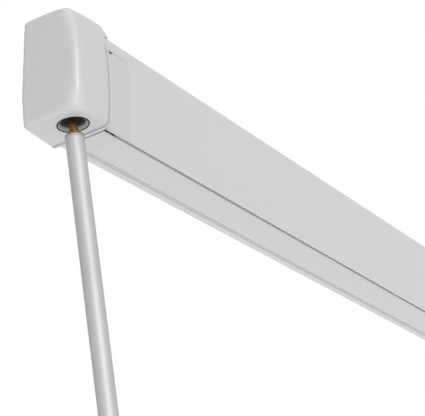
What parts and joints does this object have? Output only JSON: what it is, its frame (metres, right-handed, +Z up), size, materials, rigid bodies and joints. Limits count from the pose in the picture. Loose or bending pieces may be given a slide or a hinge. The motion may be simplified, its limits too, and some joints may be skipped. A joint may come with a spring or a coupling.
{
  "type": "roll out awning",
  "caption": "Wall cassette awning for a camper: crank driven fabric roller, folding spring arms, front rail and telescopic legs.",
  "frame": {"origin": "on the wall face of the middle wall bracket, at half the cassette's length", "axes": "+X along the cassette with the crank at the -X end, +Y into the wall, so the awning rolls out towards -Y, +Z up"},
  "size_m": [2.59, 0.2278, 1.5096],
  "materials": {
    "profile": "satin anodised",
    "cap_plastic": "smooth gloss",
    "casting": "cast, satin",
    "dark_plastic": "matte",
    "steel": "zinc plated",
    "brass": "plain",
    "cloth": "coated awning cloth"
  },
  "bodies": {
    "cassette": {"housing": "profile", "left_end_cap": "cap_plastic", "right_end_cap": "cap_plastic", "left_end_plate": "casting", "right_end_plate": "casting", "gearbox": "casting", "eye_bush": "dark_plastic", "wall_bracket_left": "casting", "wall_bracket_middle": "casting", "wall_bracket_right": "casting", "bracket_bolts": "steel", "left_shoulder_bracket": "casting", "right_shoulder_bracket": "casting"},
    "roller": {"roller_tube": "profile", "roller_drive_plug": "casting", "roller_idle_plug": "casting", "worm_wheel": "brass", "fabric_roll": "cloth"},
    "drive": {"worm_shaft": "steel", "worm": "steel"},
    "crank": {"crank_tip": "brass", "crank_tube": "profile", "crank_knuckle": "dark_plastic"},
    "crank_handle": {"crank_arm": "dark_plastic", "crank_spindle": "steel"},
    "crank_grip": {"crank_sleeve": "dark_plastic"},
    "fabric": {"fabric_run": "cloth"},
    "left_upper_arm": {"left_upper_tube": "profile", "left_upper_shoulder": "casting", "left_upper_elbow": "casting", "left_arm_spring": "steel"},
    "left_forearm": {"left_fore_tube": "profile", "left_fore_elbow": "casting", "left_fore_wrist": "casting"},
    "right_upper_arm": {"right_upper_tube": "profile", "right_upper_shoulder": "casting", "right_upper_elbow": "casting", "right_arm_spring": "steel"},
    "right_forearm": {"right_fore_tube": "profile", "right_fore_elbow": "casting", "right_fore_wrist": "casting"},
    "lead_rail": {"lead_rail": "profile", "left_rail_end": "cap_plastic", "right_rail_end": "cap_plastic", "left_wrist_bracket": "casting", "right_wrist_bracket": "casting", "left_leg_hinge": "dark_plastic", "right_leg_hinge": "dark_plastic", "fabric_hem": "cloth"},
    "left_leg": {"left_leg_knuckle": "dark_plastic", "left_leg_outer": "profile", "left_leg_collar": "dark_plastic"},
    "left_leg_inner": {"left_leg_inner": "profile"},
    "left_foot": {"left_leg_foot": "dark_plastic"},
    "right_leg": {"right_leg_knuckle": "dark_plastic", "right_leg_outer": "profile", "right_leg_collar": "dark_plastic"},
    "right_leg_inner": {"right_leg_inner": "profile"},
    "right_foot": {"right_leg_foot": "dark_plastic"}
  },
  "joints": [
    {"name": "crank_turn", "type": "hinge", "parent": "cassette", "child": "drive", "pos_m": [-1.2626, -0.06737, -0.06], "axis": [0, 0.1253, 0.9921], "range_deg": [0, 30000]},
    {"name": "roller_turn", "type": "hinge", "parent": "cassette", "child": "roller", "pos_m": [0, -0.0371, 0.028], "axis": [1, 0, 0], "range_deg": [0, 5000]},
    {"name": "left_shoulder", "type": "hinge", "parent": "cassette", "child": "left_upper_arm", "pos_m": [-1.14, -0.025, -0.013], "axis": [0, 0, -1], "range_deg": [0, 65.2]},
    {"name": "left_elbow", "type": "hinge", "parent": "left_upper_arm", "child": "left_forearm", "pos_m": [-0.055, -0.04, -0.013], "axis": [0, 0, 1], "range_deg": [0, 130.4]},
    {"name": "left_wrist", "type": "hinge", "parent": "left_forearm", "child": "lead_rail", "pos_m": [-1.14, -0.055, -0.013], "axis": [0, 0, -1], "range_deg": [0, 65.2]},
    {"name": "right_shoulder", "type": "hinge", "parent": "cassette", "child": "right_upper_arm", "pos_m": [1.14, -0.025, -0.013], "axis": [0, 0, 1], "range_deg": [0, 65.2]},
    {"name": "right_elbow", "type": "hinge", "parent": "right_upper_arm", "child": "right_forearm", "pos_m": [0.055, -0.04, -0.013], "axis": [0, 0, -1], "range_deg": [0, 130.4]},
    {"name": "fabric_feed", "type": "slide", "parent": "cassette", "child": "fabric", "axis": [0, -1, 0], "range_m": [0, 1.95246], "deforming": ["fabric_run"]},
    {"name": "crank_pull", "type": "slide", "parent": "drive", "child": "crank", "axis": [0, -0.1253, -0.9921], "range_m": [0, 0.04]},
    {"name": "crank_fold", "type": "hinge", "parent": "crank", "child": "crank_handle", "pos_m": [-1.2626, -0.21733, -1.24707], "axis": [-1, 0, 0], "range_deg": [0, 90]},
    {"name": "grip_spin", "type": "hinge", "parent": "crank_handle", "child": "crank_grip", "pos_m": [-1.2626, -0.04859, -1.34751], "axis": [0, 0.1253, 0.9921], "continuous": true},
    {"name": "left_leg_swing", "type": "hinge", "parent": "lead_rail", "child": "left_leg", "pos_m": [-1.207, -0.05837, -0.0525], "axis": [0, 1, 0], "range_deg": [0, 90]},
    {"name": "left_leg_extend", "type": "slide", "parent": "left_leg", "child": "left_leg_inner", "axis": [1, 0, 0], "range_m": [0, 0.9]},
    {"name": "left_foot_tilt", "type": "hinge", "parent": "left_leg_inner", "child": "left_foot", "pos_m": [-0.06, -0.05837, -0.0518], "axis": [0, 1, 0], "range_deg": [0, 90]},
    {"name": "right_leg_swing", "type": "hinge", "parent": "lead_rail", "child": "right_leg", "pos_m": [1.207, -0.05837, -0.0375], "axis": [0, -1, 0], "range_deg": [0, 90]},
    {"name": "right_leg_extend", "type": "slide", "parent": "right_leg", "child": "right_leg_inner", "axis": [-1, 0, 0], "range_m": [0, 0.9]},
    {"name": "right_foot_tilt", "type": "hinge", "parent": "right_leg_inner", "child": "right_foot", "pos_m": [0.06, -0.05837, -0.0368], "axis": [0, -1, 0], "range_deg": [0, 90]}
  ],
  "couplings": [
    {"joint": "crank_turn", "follows": "left_shoulder", "ratio": 460.12},
    {"joint": "roller_turn", "follows": "left_shoulder", "ratio": 76.687},
    {"joint": "left_elbow", "follows": "left_shoulder", "ratio": 2},
    {"joint": "left_wrist", "follows": "left_shoulder", "ratio": 1},
    {"joint": "right_shoulder", "follows": "left_shoulder", "ratio": 1},
    {"joint": "right_elbow", "follows": "left_shoulder", "ratio": 2},
    {"joint": "fabric_feed", "follows": "left_shoulder", "m_per_rad": 1.7158}
  ]
}
